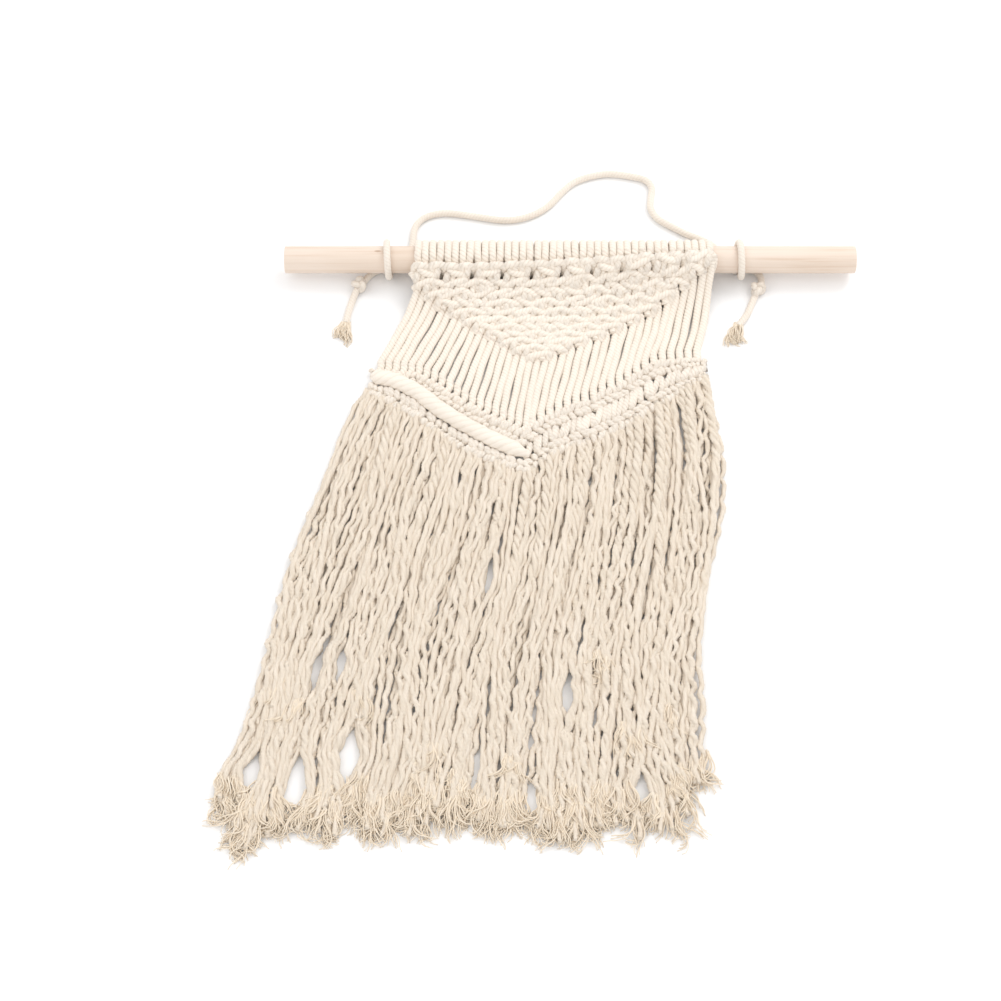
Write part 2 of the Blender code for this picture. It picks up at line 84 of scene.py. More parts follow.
# Depth above the panel's top, Y and Z of the same surface over the dowel's front
OVER_DOWEL = [(0.0, -0.0151, 0.0190), (0.0045, -0.0122, 0.0236), (0.0077, -0.0098, 0.0261),
              (0.0104, -0.0076, 0.0277), (0.0130, -0.0052, 0.0288), (0.0183, 0.0, 0.0296)]
CLIMB_LEFT = 0.0034  # how far the first row is drawn up over the dowel
CLIMB_RIGHT = 0.0110  # and how much more at its right end
CLIMB_START_X = -0.05
CLIMB_SPAN = 0.145
CLIMB_DEPTH = 0.042
FIRST_KNOT_HALF_WIDTH = 6.9  # in millimetres, narrower so that holes show between the knots
KNOT_HALF_WIDTH = 8.6
KNOT_CORD_RADIUS = 0.0025
KNOT_FILLER_RADIUS = 0.0027
LEFT_STRAND_RADIUS = 0.00280
RIGHT_STRAND_RADIUS = 0.00288

# Band: at places along X, the Y of its upper edge, of the two edges of its middle row, and of its lower edge.
# The left leg's middle row is the roll.
LEFT_LEG = np.array([
    (-0.139, -0.0850, -0.0862, -0.0960, -0.1050), (-0.121, -0.0866, -0.0888, -0.1015, -0.1165),
    (-0.105, -0.0890, -0.0975, -0.1110, -0.1270), (-0.092, -0.0965, -0.1095, -0.1240, -0.1380),
    (-0.074, -0.1110, -0.1225, -0.1375, -0.1515), (-0.053, -0.1235, -0.1370, -0.1495, -0.1615),
    (-0.031, -0.1340, -0.1495, -0.1590, -0.1690),
])
RIGHT_LEG = np.array([
    (-0.031, -0.1320, -0.1445, -0.1570, -0.1690), (-0.014, -0.1205, -0.1320, -0.1430, -0.1545),
    (0.012, -0.1085, -0.1205, -0.1330, -0.1455), (0.038, -0.0930, -0.1060, -0.1190, -0.1320),
    (0.057, -0.0785, -0.0915, -0.1050, -0.1180), (0.075, -0.0760, -0.0850, -0.0950, -0.1050),
    (0.093, -0.0760, -0.0815, -0.0870, -0.0925),
])
# Hitches on each leg: name, the levels of the band that their rows lie between, and each row's slant
LEFT_HITCH_ROWS = [("upper", (0.0, 0.55, 1.0), (-0.6, -0.9)), ("lower", (2.0, 2.5, 3.0), (0.8, -0.7))]
RIGHT_HITCH_ROWS = [
    ("upper", (0.0, 0.5, 1.0), (-0.9, 0.6)), ("middle", (1.0, 2.0), (-0.8,)),
    ("lower", (2.0, 2.5, 3.0), (0.7, -0.7)),
]
APEX_X = -0.031  # the point of the V
ROLL_RADIUS = 0.0058

# Fringe
FRINGE_LEFT_EDGE = [
    (-0.139, -0.100), (-0.154, -0.141), (-0.180, -0.233),
    (-0.200, -0.306), (-0.213, -0.362), (-0.236, -0.446),
]
FRINGE_RIGHT_EDGE = [
    (0.093, -0.090), (0.098, -0.149), (0.094, -0.203), (0.086, -0.256),
    (0.075, -0.305), (0.072, -0.362), (0.076, -0.446),
]
# How low the tufts reach: share across the fringe, and Y
FRINGE_TIPS = [
    (0.0, -0.431), (0.02, -0.434), (0.09, -0.444), (0.205, -0.437), (0.40, -0.436), (0.48, -0.424),
    (0.64, -0.437), (0.756, -0.4405), (0.904, -0.434), (0.97, -0.426), (1.0, -0.421),
]
TUFT_LENGTH = 0.013  # how far a tuft reaches past its yarn
# Where the floor shows between yarns: middle, half width and half height
FRINGE_GAPS = [
    (-0.056, -0.246, 0.0032, 0.026), (-0.152, -0.310, 0.0030, 0.020), (-0.168, -0.316, 0.0030, 0.022),
    (-0.177, -0.394, 0.0065, 0.040), (-0.143, -0.373, 0.0060, 0.026), (-0.205, -0.385, 0.0055, 0.020),
    (-0.216, -0.402, 0.0040, 0.018), (-0.230, -0.412, 0.0045, 0.020), (-0.007, -0.333, 0.0035, 0.022),
    (0.039, -0.400, 0.0055, 0.026), (-0.029, -0.406, 0.0040, 0.020),
]
# Cords cut short, whose tufts lie on top: share across the fringe, and how much of its length they reach
SHORT_CORDS = [
    (0.052, 0.74), (0.112, 0.78), (0.2375, 0.76), (0.42, 0.88), (0.62, 0.90), (0.787, 0.66), (0.849, 0.85),
    (0.94, 0.83),
]
BACKING_CORDS = 26
FRONT_CORDS = 42
PLY_SPREAD = 0.0034
YARN_STEP = 0.0022
LOCK_COUNT = 8
# Shares across the fringe that the yarns' ends gather towards
TUFT_SHARES = [0.025, 0.10, 0.19, 0.27, 0.35, 0.43, 0.52, 0.61, 0.70, 0.79, 0.88, 0.97]

# Hanging cord
LEFT_HITCH_X = -0.128
RIGHT_HITCH_X = 0.119
CORD_LIFT = 0.0025
LOOP_ROUTE = [
    (-0.1236, -0.0005), (-0.1195, 0.0045), (-0.1155, 0.0105), (-0.1128, 0.0165), (-0.1112, 0.0230),
    (-0.1108, 0.0310), (-0.1092, 0.0385), (-0.1040, 0.0450), (-0.0950, 0.0490), (-0.0840, 0.0495),
    (-0.0680, 0.0470), (-0.0490, 0.0437), (-0.0360, 0.0445), (-0.0240, 0.0490), (-0.0140, 0.0565),
    (-0.0050, 0.0680), (0.0040, 0.0770), (0.0160, 0.0825), (0.0300, 0.0850), (0.0450, 0.0828),
    (0.0555, 0.0795), (0.0602, 0.0725), (0.0592, 0.0620), (0.0590, 0.0535), (0.0635, 0.0450),
    (0.0730, 0.0380), (0.0840, 0.0312), (0.0945, 0.0260), (0.1020, 0.0205), (0.1072, 0.0135),
    (0.1112, 0.0065), (0.1146, -0.0005),
]
LEFT_TAIL = [
    (-0.1290, 0.0015), (-0.1325, 0.0008), (-0.1360, -0.0010), (-0.1402, -0.0040), (-0.1443, -0.0091),
    (-0.1478, -0.0137), (-0.1504, -0.0191), (-0.1530, -0.0280), (-0.1552, -0.0370), (-0.1565, -0.0455),
]
RIGHT_TAIL = [
    (0.1200, 0.0015), (0.1224, 0.0015), (0.1272, 0.0008), (0.1318, -0.0020), (0.1343, -0.0060),
    (0.1346, -0.0112), (0.1317, -0.0178), (0.1292, -0.0236), (0.1262, -0.0310), (0.1228, -0.0390),
    (0.1165, -0.0478),
]
# Each tail's route, its knot's middle and turn in degrees, and where its frayed tip points
TAILS = [
    ("left", LEFT_TAIL, (-0.1478, -0.0137), 28, (-0.1575, -0.0645)),
    ("right", RIGHT_TAIL, (0.1317, -0.0178), -24, (0.1105, -0.0710)),
]
OVERHAND_SIZE = (0.0036, 0.0044, 0.0019)
OVERHAND_LIFT = 0.0046

# Colours
CREAM = (0.925, 0.848, 0.755)
CREAM_SHADE = (0.885, 0.80, 0.705)
# Painted shade: the colour that the lines between the plies of the cord are tinted towards
PAINTED_GROOVE_SHADE = (0.74, 0.645, 0.54)
HANGER = (0.87, 0.795, 0.71)
HANGER_SHADE = (0.82, 0.74, 0.65)
COMBED = (0.885, 0.79, 0.675)
COMBED_SHADE = (0.805, 0.70, 0.575)
# Painted shade: the colour that the lines between the plies of the fringe yarns are tinted towards
COMBED_PAINTED_GROOVE_SHADE = (0.66, 0.55, 0.43)
THREAD = (0.925, 0.82, 0.685)
THREAD_SHADE = (0.86, 0.735, 0.575)
PINE_DARK = (0.70, 0.55, 0.44)
PINE = (0.765, 0.64, 0.54)
PINE_LIGHT = (0.79, 0.67, 0.575)
NICK_COLOUR = (0.40, 0.25, 0.16)
FLOOR = (0.93, 0.93, 0.935)
GRAIN_SCALE = (12.0, 420.0, 420.0)  # fine across the rod, long along it

# Light: each softbox's name, place, size and power
SOFTBOXES = [("key_softbox", (0.9, 0.9, 1.5), 1.0, 12), ("fill_softbox", (-1.2, -0.6, 1.6), 1.6, 4)]
LIT_POINT = (-0.05, -0.15, 0)
SKY_STRENGTH = 1.05

dice = random.Random(7)


# ---------------------------------------------------------------- helpers

def mix(low, high, share):
    return low + (high - low) * share


def smooth_step(value):
    t = min(1.0, max(0.0, value))
    return t * t * (3 - 2 * t)


def value_at(points, y):
    """X on an edge given as (x, y) points that run to -Y."""
    for (x0, y0), (x1, y1) in zip(points, points[1:]):
        if y >= y1:
            return mix(x0, x1, (y - y0) / (y1 - y0))
    return points[-1][0]


def smooth_path(points, step):
    """Even points on a Catmull-Rom curve through the given ones."""
    p = np.asarray(points, float)
    p = np.vstack([2 * p[0] - p[1], p, 2 * p[-1] - p[-2]])
    t = np.linspace(0, 1, 13)[:-1, None]
    dense = [
        0.5 * (2 * b + (c - a) * t + (2 * a - 5 * b + 4 * c - d) * t**2 + (3 * b - a - 3 * c + d) * t**3)
        for a, b, c, d in zip(p, p[1:], p[2:], p[3:])
    ]
    dense = np.vstack([*dense, p[-2]])
    run = np.concatenate([[0], np.cumsum(np.linalg.norm(np.diff(dense, axis=0), axis=1))])
    count = max(4, int(round(run[-1] / step)) + 1)
    goal = np.linspace(0, run[-1], count)
    return np.stack([np.interp(goal, run, dense[:, k]) for k in range(3)], axis=1)


def ply_profile(sides, plies, groove):
    """Share of the radius at each corner of a section with one lobe for each ply."""
    turn = 2 * math.pi * np.arange(sides) / sides
    if not plies:
        return np.ones(sides)
    return 1 - groove * (1 - np.abs(np.cos(turn * plies / 2))) ** 1.5


class Skein:
    """Gathers swept cords into one mesh. Its UVs run round each cord and, in centimetres, along it."""

    def __init__(self):
        self.points, self.quads, self.quad_uvs, self.tris, self.tri_uvs = [], [], [], [], []
        self.count = 0

    def sweep(self, path, radius, sides=12, plies=3, lay=CORD_LAY, groove=0.13, squeeze=1.0):
        """One cord along a path. Its plies turn once in each lay. Squeeze flattens its section."""
        path = np.asarray(path, float)
        n = len(path)
        radius = np.broadcast_to(np.asarray(radius, float), (n,))
        tangent = np.gradient(path, axis=0)
        tangent /= np.maximum(np.linalg.norm(tangent, axis=1), 1e-12)[:, None]
        side = np.cross(tangent[0], (0, 0, 1.0))
        if np.linalg.norm(side) < 1e-3:
            side = np.cross(tangent[0], (0, 1.0, 0))
        sides_at = np.empty_like(path)
        for i in range(n):
            side = side - tangent[i] * side.dot(tangent[i])
            side /= max(1e-12, math.sqrt(side.dot(side)))
            sides_at[i] = side
        up = np.cross(sides_at, tangent)
        run = np.concatenate([[0], np.cumsum(np.linalg.norm(np.diff(path, axis=0), axis=1))])
        start_turn = dice.uniform(0, 2 * math.pi)
        twist = 2 * math.pi * run / lay + start_turn if plies else np.full(n, start_turn)
        corner = 2 * math.pi * np.arange(sides) / sides
        angle = corner[None, :] + twist[:, None]
        reach = radius[:, None] * ply_profile(sides, plies, groove)[None, :]
        ring = (path[:, None, :] + (reach * np.cos(angle))[..., None] * sides_at[:, None, :]
                + (reach * np.sin(angle) * squeeze)[..., None] * up[:, None, :])
        points = np.vstack([ring.reshape(-1, 3), path[:1], path[-1:]])
        i = np.arange(sides)
        j = (i + 1) % sides
        first = (np.arange(n - 1) * sides)[:, None]
        quads = np.stack([first + i, first + j, first + sides + j, first + sides + i], axis=-1).reshape(-1, 4)
        low_cap = np.stack([np.full(sides, n * sides), j, i], axis=-1)
        last = (n - 1) * sides
        high_cap = np.stack([np.full(sides, n * sides + 1), last + i, last + j], axis=-1)
        base = dice.uniform(0, 50)
        along = base + run * 100
        u0, u1 = i / sides, (i + 1) / sides
        quad_uv = np.empty((n - 1, sides, 4, 2))
        quad_uv[..., 0, 0] = quad_uv[..., 3, 0] = u0
        quad_uv[..., 1, 0] = quad_uv[..., 2, 0] = u1
        quad_uv[..., 0, 1] = quad_uv[..., 1, 1] = along[:-1, None]
        quad_uv[..., 2, 1] = quad_uv[..., 3, 1] = along[1:, None]
        tri_uv = np.empty((2, sides, 3, 2))
        tri_uv[:, :, :, 0] = u0[None, :, None]
        tri_uv[0, :, :, 1] = along[0]
        tri_uv[1, :, :, 1] = along[-1]
        self.points.append(points)
        self.quads.append(quads + self.count)
        self.tris.append(np.vstack([low_cap, high_cap]) + self.count)
        self.quad_uvs.append(quad_uv.reshape(-1, 2))
        self.tri_uvs.append(tri_uv.reshape(-1, 2))
        self.count += len(points)

    def build(self, name, material):
        points = np.vstack(self.points)
        quads, tris = np.vstack(self.quads), np.vstack(self.tris)
        corners = np.concatenate([quads.ravel(), tris.ravel()])
        starts = np.concatenate([np.arange(len(quads)) * 4, len(quads) * 4 + np.arange(len(tris)) * 3])
        mesh = bpy.data.meshes.new(name)
        mesh.vertices.add(len(points))
        mesh.vertices.foreach_set("co", points.astype(np.float32).ravel())
        mesh.loops.add(len(corners))
        mesh.loops.foreach_set("vertex_index", corners.astype(np.int32))
        mesh.polygons.add(len(starts))
        mesh.polygons.foreach_set("loop_start", starts.astype(np.int32))
        mesh.update(calc_edges=True)
        layer = mesh.uv_layers.new(name="lay")
        uvs = np.vstack(self.quad_uvs + self.tri_uvs)
        layer.uv.foreach_set("vector", uvs.astype(np.float32).ravel())
        mesh.shade_smooth()
        mesh.materials.append(material)
        item = bpy.data.objects.new(name, mesh)
        bpy.context.scene.collection.objects.link(item)
        return item


def place(item, body, slot, *nodes):
    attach(item, body)
    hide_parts(*nodes)
    return item


# ---------------------------------------------------------------- materials

def math_node(tree, operation, *values):
    node = tree.nodes.new("ShaderNodeMath")
    node.operation = operation
    for socket, value in zip(node.inputs, values):
        if isinstance(value, (int, float)):
            socket.default_value = value
        else:
            tree.links.new(value, socket)
    return node.outputs[0]


def cotton_group():
    """Fine fibres that run along a cord, and the line between two plies, which paints shade into the colour
    and dips the bump.
    """
    tree = bpy.data.node_groups.new("cotton_fibres", "ShaderNodeTree")
    for label, value in (("Fibres round", 14.0), ("Fibres along", 1.2), ("Plies", 3.0), ("Ply line", 1.0)):
        socket = tree.interface.new_socket(label, in_out="INPUT", socket_type="NodeSocketFloat")
        socket.default_value = value
    for label in ("Height", "Groove", "Patch"):
        tree.interface.new_socket(label, in_out="OUTPUT", socket_type="NodeSocketFloat")
    given, out = tree.nodes.new("NodeGroupInput"), tree.nodes.new("NodeGroupOutput")
    links = tree.links
    uv = tree.nodes.new("ShaderNodeUVMap")
    uv.uv_map = "lay"
    split = tree.nodes.new("ShaderNodeSeparateXYZ")
    links.new(uv.outputs[0], split.inputs[0])
    round_turn = math_node(tree, "MULTIPLY", split.outputs[0], 2 * math.pi)
    ring = tree.nodes.new("ShaderNodeCombineXYZ")
    for socket, wave_shape in zip(ring.inputs, ("COSINE", "SINE")):
        wave = math_node(tree, wave_shape, round_turn)
        links.new(math_node(tree, "MULTIPLY", wave, given.outputs["Fibres round"]), socket)
    links.new(math_node(tree, "MULTIPLY", split.outputs[1], given.outputs["Fibres along"]), ring.inputs[2])
    fibre = tree.nodes.new("ShaderNodeTexNoise")
    fibre.inputs["Scale"].default_value = 1.0
    fibre.inputs["Detail"].default_value = 3.0
    fibre.inputs["Roughness"].default_value = 0.65
    links.new(ring.outputs[0], fibre.inputs["Vector"])
    # one groove for each ply, where the corners of a swept section have their dips; the colour is darkened
    # along it as painted shade
    half_turn = math_node(tree, "MULTIPLY", split.outputs[0], math.pi)
    wave = math_node(tree, "COSINE", math_node(tree, "MULTIPLY", half_turn, given.outputs["Plies"]))
    groove = math_node(tree, "SUBTRACT", 1.0, math_node(tree, "ABSOLUTE", wave))
    groove = math_node(tree, "POWER", groove, 2.5)
    groove = math_node(tree, "MULTIPLY", groove, given.outputs["Ply line"])
    links.new(groove, out.inputs["Groove"])
    height = math_node(tree, "SUBTRACT", fibre.outputs["Fac"], math_node(tree, "MULTIPLY", groove, 0.6))
    links.new(height, out.inputs["Height"])
    slow = tree.nodes.new("ShaderNodeCombineXYZ")
    links.new(math_node(tree, "MULTIPLY", split.outputs[1], 0.35), slow.inputs[0])
    patch = tree.nodes.new("ShaderNodeTexNoise")
    patch.inputs["Scale"].default_value = 1.0
    patch.inputs["Detail"].default_value = 2.0
    links.new(slow.outputs[0], patch.inputs["Vector"])
    links.new(patch.outputs["Fac"], out.inputs["Patch"])
    return tree


def colour_ramp(tree, factor, stops):
    ramp = tree.nodes.new("ShaderNodeValToRGB")
    while len(ramp.color_ramp.elements) < len(stops):
        ramp.color_ramp.elements.new(0.5)
    for element, (at, colour) in zip(ramp.color_ramp.elements, stops):
        element.position = at
        element.color = (*colour, 1.0)
    tree.links.new(factor, ramp.inputs[0])
    return ramp.outputs[0]


def blend_colour(tree, factor, a, b, mode="MIX"):
    node = tree.nodes.new("ShaderNodeMix")
    node.data_type = "RGBA"
    node.blend_type = mode
    for socket, value in ((node.inputs[0], factor), (node.inputs[6], a), (node.inputs[7], b)):
        if isinstance(value, (int, float)):
            socket.default_value = value
        elif isinstance(value, tuple):
            socket.default_value = (*value, 1.0)
        else:
            tree.links.new(value, socket)
    return node.outputs[2]


def cotton_material(name, light, dark, groove_painted_shade, ply_line, bump, plies=3, fibres_round=14.0,
                    fibres_along=1.2):
    """Cotton with painted shade along the lines where its plies meet, over fine fibres and slow patches of
    two shades.
    """
    material = bpy.data.materials.new(name)
    material.use_nodes = True
    tree = material.node_tree
    shader = tree.nodes["Principled BSDF"]
    group = tree.nodes.new("ShaderNodeGroup")
    group.node_tree = fibres
    group.inputs["Fibres round"].default_value = fibres_round
    group.inputs["Fibres along"].default_value = fibres_along
    group.inputs["Plies"].default_value = plies
    group.inputs["Ply line"].default_value = ply_line
    base = colour_ramp(tree, group.outputs["Patch"], [(0.3, dark), (0.7, light)])
    # fibre tone, which also darkens along the ply lines as painted shade, since the height dips there
    fibre = colour_ramp(tree, group.outputs["Height"], [(0.1, (0.90, 0.88, 0.85)), (0.55, (1.0, 1.0, 1.0))])
    base = blend_colour(tree, 1.0, base, fibre, "MULTIPLY")
    # painted shade: the ply lines are tinted towards the groove shade colour
    base = blend_colour(tree, math_node(tree, "MULTIPLY", group.outputs["Groove"], 0.75), base, groove_painted_shade)
    tree.links.new(base, shader.inputs["Base Color"])
    knobbly = tree.nodes.new("ShaderNodeBump")
    knobbly.inputs["Strength"].default_value = bump
    knobbly.inputs["Distance"].default_value = 0.0006
    tree.links.new(group.outputs["Height"], knobbly.inputs["Height"])
    tree.links.new(knobbly.outputs[0], shader.inputs["Normal"])
    shader.inputs["Roughness"].default_value = 0.92
    shader.inputs["Specular IOR Level"].default_value = 0.2
    shader.inputs["Sheen Weight"].default_value = 0.25
    shader.inputs["Sheen Roughness"].default_value = 0.6
    return material


def noise(tree, place_at, scale, detail=2.0, distortion=0.0):
    node = tree.nodes.new("ShaderNodeTexNoise")
    node.inputs["Scale"].default_value = scale
    node.inputs["Detail"].default_value = detail
    node.inputs["Distortion"].default_value = distortion
    tree.links.new(place_at, node.inputs["Vector"])
    return node.outputs["Fac"]


def pine_material():
    """Planed softwood: lengthwise grain with darker streaks, slow clouds of colour, and one dark nick."""
    material = bpy.data.materials.new("pine")
    material.use_nodes = True
    tree = material.node_tree
    shader = tree.nodes["Principled BSDF"]
    place_at = tree.nodes.new("ShaderNodeTexCoord").outputs["Object"]
    along_grain = tree.nodes.new("ShaderNodeVectorMath")
    along_grain.operation = "MULTIPLY"
    along_grain.inputs[1].default_value = GRAIN_SCALE
    tree.links.new(place_at, along_grain.inputs[0])
    streak = noise(tree, along_grain.outputs[0], 1.0, detail=4.0, distortion=0.6)
    fine = noise(tree, along_grain.outputs[0], 4.0, detail=3.0)
    base = colour_ramp(tree, streak, [(0.30, PINE_DARK), (0.46, PINE), (0.68, PINE_LIGHT)])
    patch = noise(tree, place_at, 14.0)
    cloud = colour_ramp(tree, patch, [(0.35, (0.95, 0.93, 0.90)), (0.65, (1.0, 1.0, 1.0))])
    base = blend_colour(tree, 1.0, base, cloud, "MULTIPLY")
    nick = tree.nodes.new("ShaderNodeVectorMath")
    nick.operation = "MULTIPLY_ADD"
    nick.inputs[1].default_value = NICK_SCALE
    nick.inputs[2].default_value = [-scale * at for scale, at in zip(NICK_SCALE, NICK)]
    tree.links.new(place_at, nick.inputs[0])
    far = tree.nodes.new("ShaderNodeVectorMath")
    far.operation = "LENGTH"
    tree.links.new(nick.outputs[0], far.inputs[0])
    mark = math_node(tree, "SUBTRACT", 1.0, math_node(tree, "POWER", far.outputs["Value"], 3.0))
    mark = math_node(tree, "MAXIMUM", math_node(tree, "MULTIPLY", mark, 0.7), 0.0)
    base = blend_colour(tree, mark, base, NICK_COLOUR)
    tree.links.new(base, shader.inputs["Base Color"])
    knobbly = tree.nodes.new("ShaderNodeBump")
    knobbly.inputs["Strength"].default_value = 0.15
    knobbly.inputs["Distance"].default_value = 0.0003
    tree.links.new(fine, knobbly.inputs["Height"])
    tree.links.new(knobbly.outputs[0], shader.inputs["Normal"])
    rough = tree.nodes.new("ShaderNodeMapRange")
    rough.inputs["To Min"].default_value = 0.42
    rough.inputs["To Max"].default_value = 0.6
    tree.links.new(streak, rough.inputs["Value"])
    tree.links.new(rough.outputs[0], shader.inputs["Roughness"])
    return material


fibres = cotton_group()
cord_cotton = cotton_material("twisted_cotton", CREAM, CREAM_SHADE, PAINTED_GROOVE_SHADE, ply_line=0.55, bump=0.3)
roll_cotton = cotton_material("wrapped_cotton", CREAM, CREAM_SHADE, PAINTED_GROOVE_SHADE, ply_line=0.35, bump=0.5, plies=5)
hanger_cotton = cotton_material("hanging_cord_cotton", HANGER, HANGER_SHADE, PAINTED_GROOVE_SHADE, ply_line=0.45, bump=0.25)
combed_cotton = cotton_material("combed_cotton", COMBED, COMBED_SHADE, COMBED_PAINTED_GROOVE_SHADE, ply_line=0.3, bump=0.4,
                                plies=2, fibres_round=7.0, fibres_along=1.6)
thread_cotton = cotton_material("frayed_threads", THREAD, THREAD_SHADE, THREAD_SHADE, ply_line=0.0, bump=0.1,
                                plies=1, fibres_round=2.0, fibres_along=3.0)
pine = pine_material()


# ---------------------------------------------------------------- camera and hanging cord

def make_camera():
    lens = bpy.data.cameras.new("camera")
    lens.lens = 85.0
    lens.sensor_width = 36.0
    camera = bpy.data.objects.new("camera", lens)
    camera.location = (-0.0488, -0.9755, 1.3665)
    camera.rotation_euler = (math.radians(30), 0.0, 0.0)
    bpy.context.scene.collection.objects.link(camera)
    bpy.context.scene.camera = camera


def overhand_knot(skein, centre, turn):
    """A plump overhand knot: one cord that crosses itself three times and is drawn tight."""
    a = math.radians(turn)
    points = []
    for k in range(49):
        t = 2 * math.pi * k / 48
        x = math.sin(t) + 2 * math.sin(2 * t)
        y = math.cos(t) - 2 * math.cos(2 * t)
        z = -math.sin(3 * t)
        x, y, z = x * OVERHAND_SIZE[0] / 3, y * OVERHAND_SIZE[1] / 3, z * OVERHAND_SIZE[2]
        points.append((centre[0] + x * math.cos(a) - y * math.sin(a),
                       centre[1] + x * math.sin(a) + y * math.cos(a), OVERHAND_LIFT + z))
    skein.sweep(smooth_path(points, 0.0006), HANGER_RADIUS * 0.92)


def frayed_tuft(skein, root, heading, length, spread, count, thread, root_radius, curl, wisps):
    """Fine threads that leave a cut end in curling wisps."""
    root = np.asarray(root, float)
    heading = np.asarray(heading, float)
    heading = heading / np.linalg.norm(heading)
    across = np.array((-heading[1], heading[0], 0.0))
    across /= max(1e-9, np.linalg.norm(across))
    t = np.linspace(0, 1, 11)
    bundles = []
    for _ in range(wisps):
        turn = dice.uniform(-0.35, 0.35)
        bend = dice.uniform(-1, 1) * curl * 0.8
        wave = dice.uniform(4.0, 8.0)
        angle = turn + bend * t * t + 0.50 * curl * np.sin(dice.uniform(0, 6.3) + wave * t) * t
        reach = length * dice.uniform(0.6, 1.05)
        step = np.stack([np.cos(angle), np.sin(angle)]) * reach / 10
        ahead = np.concatenate([[0], np.cumsum(step[0][1:])]) - reach * 0.1
        aside = np.concatenate([[0], np.cumsum(step[1][1:])])
        bundles.append((ahead, aside, dice.uniform(-1, 1), dice.uniform(-0.3, 1)))
    for k in range(count):
        ahead, aside, seat, level = bundles[k % wisps]
        turn, out = dice.uniform(0, 2 * math.pi), math.sqrt(dice.random())
        side, rise = out * math.cos(turn), out * math.sin(turn)
        wave, phase = dice.uniform(4.0, 11.0), dice.uniform(0, 6.3)
        size = dice.uniform(0.3, 1.0) * 0.0009 * curl
        short = dice.uniform(0.7, 1.0)
        sideways = seat * root_radius + aside * short + side * (root_radius * 0.5 + spread * 0.25 * t**1.5)
        sideways += size * t * np.sin(phase + wave * t)
        height = level * spread * 0.35 * np.sin(math.pi * t) + rise * root_radius * 0.7
        height += size * t * np.cos(phase + wave * 1.2 * t)
        points = root + heading * (ahead * short)[:, None] + across * sideways[:, None]
        points[:, 2] = np.maximum(thread, points[:, 2] * (1 - 0.6 * t) + height)
        path = smooth_path(points, length / 14)
        skein.sweep(path, np.linspace(thread, thread * 0.7, len(path)), sides=4, plies=0)


def free_cord(name, route):
    """A stretch of the hanging cord along a route on the surface, and its path."""
    path = smooth_path([(x, y, CORD_LIFT) for x, y in route], PATH_STEP)
    skein = Skein()
    skein.sweep(path, HANGER_RADIUS, lay=HANGER_LAY, groove=0.10)
    return skein.build(name, hanger_cotton), path


def make_hanging_cord():
    item, path = free_cord("hanging_loop_cord", LOOP_ROUTE)
    loop = place(item, "hanging_loop", "hanging_cord", "hanging_loop")
    for side, route, knot, turn, tip in TAILS:
        body = f"{side}_tail"
        item, path = free_cord(f"{side}_tail_cord", route)
        tail = place(item, body, "hanging_cord", f"{side}_tail_lead", f"{side}_tail")
        skein = Skein()
        overhand_knot(skein, knot, turn)
        item = skein.build(f"{side}_overhand_knot", hanger_cotton)
        stopper = place(item, body, "hanging_cord", f"{side}_stopper_knot")
        skein = Skein()
        end = path[-1]
        frayed_tuft(skein, end, np.array((*tip, CORD_LIFT)) - end, length=0.021, spread=0.008, count=150,
                    thread=0.00032, root_radius=0.0026, curl=1.3, wisps=8)
        item = skein.build(f"{side}_tail_tuft", thread_cotton)
        tuft = place(item, body, "hanging_cord", f"{side}_frayed_tip")


def on_dowel(x, degrees, radius):
    """Point round the dowel, with the angle from straight up towards the front."""
    a = math.radians(degrees)
    return (x, -radius * math.sin(a), AXIS_Z + radius * math.cos(a))


def make_hitches():
    for side, x in (("left", LEFT_HITCH_X), ("right", RIGHT_HITCH_X)):
        skein = Skein()
        reach = DOWEL_RADIUS + HANGER_RADIUS
        turn = [on_dowel(x + 0.0035 * (0.5 - k / 24), 200 - 360 * k / 22, reach) for k in range(25)]
        skein.sweep(smooth_path(turn, PATH_STEP), HANGER_RADIUS, lay=HANGER_LAY, groove=0.10)
        place(skein.build(f"{side}_hitch_turn", hanger_cotton), "panel", "hanging_cord", f"{side}_hitch")


# ---------------------------------------------------------------- dowel

def make_dowel():
    sides, arc = 96, 5
    rounded = []
    for k in range(arc + 1):
        a = math.pi / 2 * k / arc
        x = DOWEL_HALF_LENGTH - DOWEL_CHAMFER + DOWEL_CHAMFER * math.cos(a)
        rounded.append((x, DOWEL_RADIUS - DOWEL_CHAMFER + DOWEL_CHAMFER * math.sin(a)))
    rings = [(-x, r) for x, r in rounded] + rounded[::-1]
    turns = [2 * math.pi * i / sides for i in range(sides)]
    points = [(x, r * math.cos(a), AXIS_Z + r * math.sin(a)) for x, r in rings for a in turns]
    faces = []
    for ring in range(len(rings) - 1):
        low, high = ring * sides, (ring + 1) * sides
        faces += [(low + i, low + (i + 1) % sides, high + (i + 1) % sides, high + i) for i in range(sides)]
    faces.append(tuple(reversed(range(sides))))
    faces.append(tuple(range((len(rings) - 1) * sides, len(rings) * sides)))
    mesh = bpy.data.meshes.new("pine_rod")
    mesh.from_pydata(points, [], faces)
    mesh.update()
    mesh.shade_smooth()
    mesh.set_sharp_from_angle(angle=math.radians(35))
    mesh.materials.append(pine)
    item = bpy.data.objects.new("pine_rod", mesh)
    bpy.context.scene.collection.objects.link(item)
    place(item, "dowel", "pine_dowel", "dowel")


# ---------------------------------------------------------------- panel

def lean(y):
    return PANEL_LEAN * min(0.0, y - PANEL_TOP_Y)


def climb(x):
    """How far the first row is drawn up towards the dowel's top at a place along it."""
    return CLIMB_LEFT + CLIMB_RIGHT * max(0.0, (x - CLIMB_START_X) / CLIMB_SPAN) ** 1.6


